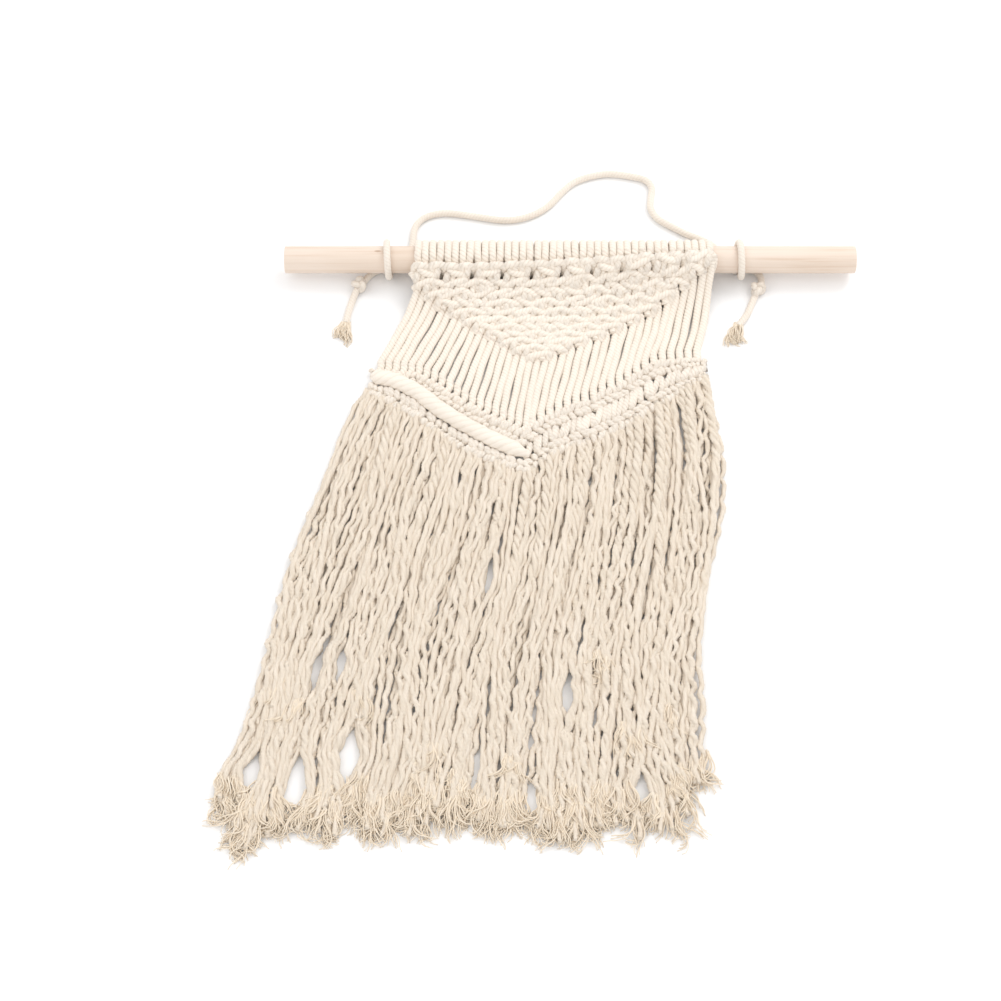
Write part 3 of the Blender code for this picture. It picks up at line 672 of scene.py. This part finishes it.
def rounded_profile():
    """The panel's profile as close points, its corners rounded off by a sliding average."""
    given_y, given_z = (column[::-1] for column in zip(*PANEL_PROFILE))
    y = np.linspace(-0.16, PANEL_TOP_Y, 600)
    z = np.interp(y, given_y, given_z)
    window = np.hanning(41)
    margin = len(window) // 2
    onwards = z[-1] + (z[-1] - z[-2]) * np.arange(1, margin + 1)
    padded = np.concatenate([np.full(margin, z[0]), z, onwards])
    return y, np.convolve(padded, window / window.sum(), mode="valid")


dense_y, dense_z = rounded_profile()
over_depth, over_y, over_z = (np.array(column) for column in zip(*OVER_DOWEL))
over_z[0] = dense_z[-1]


def section(depth):
    """Y and Z of the panel's middle surface at a depth below its top, negative over the dowel."""
    if depth >= 0:
        y = PANEL_TOP_Y - depth
        return y, float(np.interp(y, dense_y, dense_z))
    return float(np.interp(-depth, over_depth, over_y)), float(np.interp(-depth, over_depth, over_z))


def on_panel(x, y, lift):
    """Point over the panel's middle surface. Y is as if the panel were flat."""
    depth = PANEL_TOP_Y - y
    depth -= climb(x) * (1 - smooth_step(depth / CLIMB_DEPTH))
    y0, z0 = section(depth + 0.0005)
    y1, z1 = section(depth - 0.0005)
    run = math.hypot(y1 - y0, z1 - z0)
    return (x, (y0 + y1) / 2 - lift * (z1 - z0) / run, (z0 + z1) / 2 + lift * (y1 - y0) / run)


def make_larks_heads():
    """Each is one cord: its bar across the front, and two turns up behind the dowel and down over the bar."""
    low, high = DOWEL_RADIUS + CORD_RADIUS, DOWEL_RADIUS + 0.8 * CORD_RADIUS
    for head in range(HEAD_COUNT):
        skein = Skein()
        centre = PANEL_LEFT + (head + 0.5) * HEAD_PITCH
        share = head / (HEAD_COUNT - 1)
        bar = mix(50, 20, smooth_step((share - 0.2) / 0.9)) + dice.uniform(-2, 2)
        slant = dice.uniform(-3, 3)
        for hand in (-1, 1):
            x = centre + hand * STRAND_PITCH * 0.49
            stray = dice.uniform(-0.0004, 0.0004)
            outer = hand == (-1 if head % 2 == 0 else 1)  # beside the next knot of the first row
            inward = -hand * 0.0008 if outer else 0.0
            points = [
                on_dowel(centre - hand * 0.001, bar - slant * hand * 0.2, high + 0.0044),
                on_dowel(centre + hand * 0.0024, bar + slant * hand * 0.5, high + 0.0044),
                on_dowel(centre + hand * 0.0046, bar + 5 + slant * hand, high + 0.0034),
                on_dowel(centre + hand * 0.0050, bar + 20, high + 0.0016),
                on_dowel(centre + hand * 0.0044, bar + 40, high + 0.0006),
                on_dowel(x, 120, low), on_dowel(x, 150, low), on_dowel(x, 180, low), on_dowel(x, 210, low),
                on_dowel(x, 240, low), on_dowel(x, 270, high), on_dowel(x + stray, 300, high),
                on_dowel(x + stray, 330, high), on_dowel(x + stray, 360, high + abs(stray)),
                on_dowel(x, 360 + bar * 0.5, high), on_dowel(x + inward, 360 + bar, high - 0.0004),
                on_panel(x + 1.5 * inward, FIRST_ROW_Y + 0.002, -0.0012),
            ]
            skein.sweep(smooth_path(points, COARSE_STEP), CORD_RADIUS * 1.1)
        name = f"larks_head_{head + 1:02d}"
        place(skein.build(f"cord_{name}", cord_cotton), "panel", "cotton_cord", name)


def knot_cords(half_width, jitter):
    """The two working cords of one square knot, as (across, up, lift) points in millimetres."""
    w = half_width + jitter[0]
    front = [
        (1.0 - w, 6.2, -0.8), (1.0 - w, 4.9, 0.4), (-6.0, 4.5 + jitter[1], 1.7), (-2.6, 3.3 + jitter[1], 2.4),
        (2.4, 2.0 + jitter[2], 2.2), (6.0, 1.0, 1.5), (w, 0.4, 0.3), (w, -0.9, 0.3), (6.0, -1.1, 1.6),
        (2.6, -2.3 - jitter[2], 2.4), (-2.4, -3.5 - jitter[1], 2.2), (-6.0, -4.6, 1.5), (1.0 - w, -5.2, 0.3),
        (-7.8, -6.4, -0.8),
    ]
    back = [
        (w - 1.0, 6.2, -0.8), (w - 0.6, 4.4, 1.2), (w - 0.4, 2.6, 2.4), (w - 0.8, 1.0, 2.2), (5.6, 1.0, -0.8),
        (0.0, 1.8, -1.6), (-6.0, 1.8, -0.6), (-w, 1.9, 1.8), (-w - 0.1, 0.0, 2.7), (-w, -1.9, 1.8),
        (-6.0, -2.0, -0.6), (0.0, -2.0, -1.6), (5.6, -1.2, -0.8), (w - 0.8, -1.2, 2.0), (w - 0.4, -2.8, 2.4),
        (w - 0.8, -4.6, 0.8), (7.8, -6.2, -0.8),
    ]
    return front, back


def filler_path(x, y, hand, first_row):
    """A cord through the middle of a knot. Below the first row it comes from a knot of the row above."""
    part = 0.0 if first_row else 1.0
    run = [(0.0066, 0.0020 * part), (0.004, 0.0008 * part), (0.0, 0.0), (-0.004, 0.0008), (-0.0066, 0.0020)]
    return [on_panel(x + hand * (STRAND_PITCH / 2 + out) + lean(y + d), y + d, 0.0004) for d, out in run]


def make_square_knots():
    for row in range(KNOT_ROWS):
        skein = Skein()
        y = FIRST_ROW_Y - row * KNOT_ROW_PITCH
        low = PANEL_LEFT + row * HEAD_PITCH
        for knot in range(KNOT_ROWS - row):
            centre = low + (2 * knot + 1) * HEAD_PITCH
            jitter = [dice.uniform(-0.2, 0.2), dice.uniform(-0.7, 0.6), dice.uniform(-0.8, 0.6)]
            mirror = 1 if dice.random() < 0.7 else -1
            tilt = dice.uniform(-0.07, 0.07)
            for cord in knot_cords(FIRST_KNOT_HALF_WIDTH if row == 0 else KNOT_HALF_WIDTH, jitter):
                points = []
                for across, upward, lift in cord:
                    v = y + upward * 1e-3 + tilt * across * 1e-3
                    x = centre + mirror * across * 1e-3 + lean(v)
                    points.append(on_panel(x, v, lift * 1e-3))
                skein.sweep(smooth_path(points, PATH_STEP), KNOT_CORD_RADIUS, groove=0.09)
            for hand in (-1, 1):
                path = smooth_path(filler_path(centre, y, hand, row == 0), COARSE_STEP)
                skein.sweep(path, KNOT_FILLER_RADIUS)
        name = f"square_knot_row_{row + 1:02d}"
        place(skein.build(f"cord_{name}", cord_cotton), "panel", "cotton_cord", name)


def band_line(leg, level):
    """Y at places along X on a line of the band. Level 0 is its upper edge and 3 its lower one."""
    edge = min(2, int(level))
    line = leg[:, 1 + edge] * (edge + 1 - level) + leg[:, 2 + edge] * (level - edge)
    return lambda x: np.interp(x, leg[:, 0], line)


def band_top(x):
    return float(band_line(LEFT_LEG if x < APEX_X else RIGHT_LEG, 0)(x))


def strand_path(index):
    """From inside its last knot down to under the band, with a hook at each end."""
    left = index < STRAND_COUNT // 2
    row = (index if left else STRAND_COUNT - 1 - index) // 2
    top_y = FIRST_ROW_Y - row * KNOT_ROW_PITCH
    x0 = PANEL_LEFT + (index + 0.5) * STRAND_PITCH + lean(top_y)
    share = (index + 0.5) / (STRAND_COUNT / 2)
    inner = (index if left else STRAND_COUNT - 1 - index) % 2
    if left:
        foot = mix(LEFT_LEG[0, 0] + 0.004, APEX_X + 0.001, share)
        foot_y = band_top(foot)
        curl = 0.0030 * smooth_step((index - 3) / 5) + dice.uniform(-0.0006, 0.0006)
        top = [(x0 - 0.0032, top_y + 0.0026, -0.0004), (x0 + 0.0012, top_y - 0.0022, 0.0006)]
        start = (x0 + 0.0012, top_y - 0.0066)
        hook = [(foot + 0.0016, foot_y + 0.0052, 0.0003), (foot + 0.0012, foot_y + 0.0018, 0.0),
                (foot - 0.0006 - 0.5 * curl, foot_y - 0.0010, -0.0004),
                (foot - 0.0022 - 1.6 * curl, foot_y - 0.0020, -0.0010)]
    else:
        foot = mix(APEX_X + 0.001, RIGHT_LEG[-1, 0] - 0.003, share - 1)
        foot_y = band_top(foot)
        top = [(x0 - 0.0050, top_y - 0.0016, 0.0004), (x0 - 0.0016, top_y + 0.0012, 0.0012),
               (x0 + 0.0012, top_y + 0.0002, 0.0012)]
        start = (x0 + 0.0020, top_y - 0.0042 - 0.0006 * inner)
        curl = dice.uniform(-0.0012, 0.0010)
        hook = [(foot - 0.0002, foot_y + 0.0040, 0.0004), (foot, foot_y + 0.0006, 0.0003),
                (foot + curl, foot_y - 0.0024, -0.0004)]
    end = (hook[0][0], hook[0][1] + 0.003)
    sway, phase = dice.uniform(-0.0007, 0.0007), dice.uniform(0, 6.3)
    middle = []
    count = 7
    for k in range(count):
        t = k / (count - 1)
        bow = math.sin(math.pi * t)
        x = mix(start[0], end[0], t) + sway * bow + 0.0003 * math.sin(phase + 9 * t) * bow
        middle.append((x, mix(start[1], end[1], t), 0.0004 * math.sin(phase + 5 * t)))
    return [on_panel(x, y, lift - 0.0010) for x, y, lift in (*top, *middle, *hook)]


def make_strands():
    half = STRAND_COUNT // 2
    for side, first, radius in (("left", 0, LEFT_STRAND_RADIUS), ("right", half, RIGHT_STRAND_RADIUS)):
        skein = Skein()
        for index in range(first, first + half):
            skein.sweep(smooth_path(strand_path(index), PATH_STEP), radius)
        item = skein.build(f"loose_strands_{side}", cord_cotton)
        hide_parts(f"upper_strands_{side}", f"lower_strands_{side}")
        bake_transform(item)


# ---------------------------------------------------------------- band

def hitch_path(centre, along, reach, tilt, rise, fat, bend):
    """One hitch: a slanted loop across its row and round the carrier cord."""
    down = np.array((along[1], -along[0]))
    points = []
    for step in range(13):
        a = math.radians(mix(-90, 270, step / 12))
        across = -math.cos(a) * reach
        x, y = centre + along * (tilt * across + 0.0004 * math.sin(a * 1.3 + bend)) + down * across
        points.append((x, y, max(fat, rise + math.sin(a) * 0.0013)))
    return smooth_path(points, PATH_STEP)


def hitch_row(name, leg, lines, slants, height, cord, count):
    """Hitches side by side in one or two rows between levels of the band, each row round a carrier cord."""
    skein = Skein()
    ends = leg[0, 0], leg[-1, 0]
    for top, bottom, slant in zip(lines, lines[1:], slants):
        high, low = band_line(leg, top), band_line(leg, bottom)
        for k in range(count):
            x0 = mix(*ends, (k + 0.5 + dice.uniform(-0.3, 0.3)) / count)
            y0 = (high(x0) + low(x0)) / 2 + dice.uniform(-0.0006, 0.0006)
            slope = (high(x0 + 0.002) + low(x0 + 0.002) - high(x0 - 0.002) - low(x0 - 0.002)) / 0.008
            along = np.array((1, slope)) / math.hypot(1, slope)
            half = (high(x0) - low(x0)) / 2 * along[0]
            fat = cord * min(1.0, 0.35 + half / 0.004) * dice.uniform(0.88, 1.10)
            reach = max(half - fat * 0.5, 0.0004) * dice.uniform(0.9, 1.2)
            tilt = slant * dice.uniform(0.5, 1.5)
            rise = height + dice.uniform(-0.0004, 0.0004)
            skein.sweep(hitch_path(np.array((x0, y0)), along, reach, tilt, rise, fat, k), fat)
        x = np.linspace(ends[0] - 0.0004, ends[1] + 0.0004, 60)
        carrier = np.stack([x, (high(x) + low(x)) / 2, np.full(len(x), height * 0.9)], axis=1)
        skein.sweep(carrier, np.clip((high(x) - low(x)) * 0.33, 0.0006, height * 0.8))
    item = skein.build(f"{name}_hitches", cord_cotton)
    place(item, "band_and_fringe", "cotton_cord", f"{name}_hitch_row")


def make_hitch_rows():
    for row, lines, slants in LEFT_HITCH_ROWS:
        hitch_row(f"left_{row}", LEFT_LEG, lines, slants, height=0.0034, cord=0.0025, count=30)
    for row, lines, slants in RIGHT_HITCH_ROWS:
        hitch_row(f"right_{row}", RIGHT_LEG, lines, slants, height=0.0033, cord=0.0024, count=34)


def make_roll():
    x = np.linspace(LEFT_LEG[0, 0] + 0.001, APEX_X + 0.002, 80)
    y = (band_line(LEFT_LEG, 1)(x) + band_line(LEFT_LEG, 2)(x)) / 2 + 0.0003 * np.sin(x * 90)
    window = np.hanning(13)
    y = np.pad(y, len(window) // 2, mode="reflect", reflect_type="odd")
    y = np.convolve(y, window / window.sum(), mode="valid")
    path = smooth_path(np.stack([x, y, ROLL_RADIUS + 0.0003 * np.sin(x * 130)], axis=1), PATH_STEP)
    run = np.linspace(0, 1, len(path))
    ends = np.sqrt(np.clip(np.minimum(run / 0.04, (1 - run) / 0.10), 0, 1))
    radius = ROLL_RADIUS * np.maximum(0.4, ends) * (1 + 0.03 * np.sin(run * 57) + 0.02 * np.sin(run * 91))
    skein = Skein()
    skein.sweep(path, radius, sides=36, plies=5, lay=0.030, groove=0.08, squeeze=0.88)
    place(skein.build("left_thick_roll", roll_cotton), "band_and_fringe", "cotton_cord", "left_roll")


# ---------------------------------------------------------------- fringe

def fringe_top(x):
    x = min(max(x, LEFT_LEG[0, 0]), RIGHT_LEG[-1, 0])
    return float(band_line(LEFT_LEG if x < APEX_X else RIGHT_LEG, 3)(x))


def fringe_x(share, y):
    return mix(value_at(FRINGE_LEFT_EDGE, y), value_at(FRINGE_RIGHT_EDGE, y), share)


def fringe_root(share):
    y = fringe_top(APEX_X)
    for _ in range(12):
        y = fringe_top(fringe_x(share, y))
    return y


def fringe_tip(share):
    return float(np.interp(share, *zip(*FRINGE_TIPS)))


def smooth_steps(values):
    return np.array([smooth_step(value) for value in values])


def push_aside(x, y):
    """Opens the lens-shaped gaps that show between yarns."""
    for gap_x, gap_y, half_width, half_height in FRINGE_GAPS:
        at_gap = float(np.interp(gap_y, y[::-1], x[::-1]))
        hand = 1 if at_gap > gap_x else -1
        opened = np.cos(np.clip((y - gap_y) / half_height, -1, 1) * math.pi / 2) ** 2
        away = (x - gap_x) * hand
        away = np.where(away < 0, away * (1 - opened), away)
        x = gap_x + hand * (away + 1.15 * half_width * opened * np.exp(-np.abs(away) / (3 * half_width)))
    return x


def fringe_yarn(share, reach, laid_until, layer, ply, drift, wander, phase, spread):
    """One ply of a fringe cord, as a path. It's laid up to a share of its length, then keeps its kinks."""
    root = fringe_root(share) + 0.004
    tip = mix(root, fringe_tip(share) + TUFT_LENGTH, reach * dice.uniform(0.955, 1.0))
    t = np.linspace(0, 1, int((root - tip) / YARN_STEP) + 2)
    y = root - t * (root - tip)
    run = root - y
    spot = share + drift * smooth_steps(t * 1.2)
    nearest = min(TUFT_SHARES, key=lambda tuft: abs(tuft - share - drift))
    spot = spot + (nearest - spot) * 0.22 * smooth_steps((t - 0.84) / 0.16)
    x = np.array([fringe_x(a, b) for a, b in zip(spot, y)])
    x += (0.0030 * np.sin(wander + t * 5.1) + 0.0018 * np.sin(wander * 2 + t * 11)) * np.minimum(1, t * 3)
    loose = smooth_steps((t - laid_until) / 0.15) * np.minimum(1, 0.35 + t * 14)
    turn = 2 * math.pi * (run / 0.023 + ply / 3) + phase
    own = dice.uniform(0, 6.3)
    first = 2 * math.pi * run / dice.uniform(0.0135, 0.0185) + phase + 1.1 * np.sin(run * 37 + own)
    second = 2 * math.pi * run / dice.uniform(0.0085, 0.0115) + own
    swell = 0.70 + 0.45 * np.sin(run * 23 + own)
    kink = swell * (0.00100 * np.sin(first) + 0.00045 * np.sin(second))
    apart = (ply - 1) * spread * (1 + 0.3 * np.sin(run * 21 + wander))
    apart += 0.0016 * np.sin(own + t * dice.uniform(6, 14))
    x += (1 - loose) * 0.00155 * np.sin(turn) + loose * (kink + apart)
    heap = np.interp(t, [0, 0.05, 0.3, 0.6, 0.85, 1], [0.0022, 0.0038, 0.0045, 0.0040, 0.0032, 0.0022])
    z = 0.0022 + heap * layer + (1 - loose) * 0.00155 * np.cos(turn) + loose * swell * 0.0007 * np.cos(first)
    return np.stack([push_aside(x, y), y, np.maximum(z, 0.0019)], axis=1), t


def fringe_cords():
    """Each cord's share across the fringe, reach, plies' layers, and how far its plies lie apart."""
    cords = []
    for k in range(BACKING_CORDS):
        cords.append(((k + 0.5) / BACKING_CORDS, dice.uniform(0.96, 1.0), (0.0, 0.05, 0.1), PLY_SPREAD))
    for k in range(FRONT_CORDS):
        share = (k + 0.5 + dice.uniform(-0.25, 0.25)) / FRONT_CORDS
        cords.append((share, dice.uniform(0.95, 1.03), (0.55, 0.9, 0.65), PLY_SPREAD))
    return cords + [(share, reach, (1.2, 1.3, 1.25), PLY_SPREAD) for share, reach in SHORT_CORDS]


def make_fringe():
    """Each cord's plies hang side by side, kinked where they were laid, and end in frayed tufts."""
    names = [f"fringe_lock_{lock + 1:02d}" for lock in range(LOCK_COUNT)]
    yarns = [Skein() for _ in names]
    tufts = [Skein() for _ in names]
    for share, reach, layers, spread in fringe_cords():
        lock = min(LOCK_COUNT - 1, int(share * LOCK_COUNT))
        laid_until = -0.15
        if layers[0] and dice.random() < (0.75 if share > 0.80 else 0.12):
            laid_until = dice.uniform(0.12, 0.40)
        stray = 0.020 if 0 < layers[0] < 1 else 0.0
        drift = min(1 - share, max(-share, dice.uniform(-stray, stray)))
        wander, phase = dice.uniform(0, 6.3), dice.uniform(0, 6.3)
        for ply, layer in enumerate(layers):
            path, t = fringe_yarn(share, reach, laid_until, layer, ply, drift, wander, phase, spread)
            thick = dice.uniform(0.00185, 0.00235)
            radius = thick * (1 + 0.10 * np.sin(t * 60 + share * 90))
            radius *= np.interp(t, [0, 0.05, 0.9, 1], [0.85, 1, 1, 0.8])
            yarns[lock].sweep(path, radius, sides=8, plies=2, lay=0.018, groove=0.16)
            heading = path[-1] - path[-7]
            heading[2] = -0.02 * abs(heading[1])
            frayed_tuft(tufts[lock], path[-7], heading, length=dice.uniform(0.022, 0.038),
                        spread=dice.uniform(0.006, 0.011), count=dice.randint(22, 28), thread=0.00040,
                        root_radius=thick * 1.15, curl=2.0, wisps=5)
    for name, yarn, tuft in zip(names, yarns, tufts):
        place(yarn.build(f"yarns_{name}", combed_cotton), "band_and_fringe", "combed_cotton", name)
        place(tuft.build(f"tufts_{name}", thread_cotton), "band_and_fringe", "combed_cotton", name)


# ---------------------------------------------------------------- surroundings

def make_surroundings():
    bpy.ops.mesh.primitive_plane_add(size=8)
    floor = bpy.context.object
    floor.name = "floor"
    pale = bpy.data.materials.new("pale_floor")
    pale.use_nodes = True
    shader = pale.node_tree.nodes["Principled BSDF"]
    shader.inputs["Base Color"].default_value = (*FLOOR, 1)
    shader.inputs["Roughness"].default_value = 0.9
    floor.data.materials.append(pale)
    world = bpy.data.worlds.new("studio")
    world.use_nodes = True
    sky = world.node_tree.nodes["Background"]
    sky.inputs["Color"].default_value = (1.0, 1.0, 1.0, 1)
    sky.inputs["Strength"].default_value = SKY_STRENGTH
    bpy.context.scene.world = world
    for name, spot, size, energy in SOFTBOXES:
        light = bpy.data.lights.new(name, "AREA")
        light.size = size
        light.energy = energy
        lamp = bpy.data.objects.new(name, light)
        lamp.location = spot
        lamp.rotation_euler = (Vector(LIT_POINT) - Vector(spot)).to_track_quat("-Z", "Y").to_euler()
        bpy.context.scene.collection.objects.link(lamp)
    bpy.context.scene.view_settings.view_transform = "Standard"


make_camera()
make_hanging_cord()
make_hitches()
make_dowel()
make_larks_heads()
make_square_knots()
make_strands()
make_hitch_rows()
make_roll()
make_fringe()
make_surroundings()
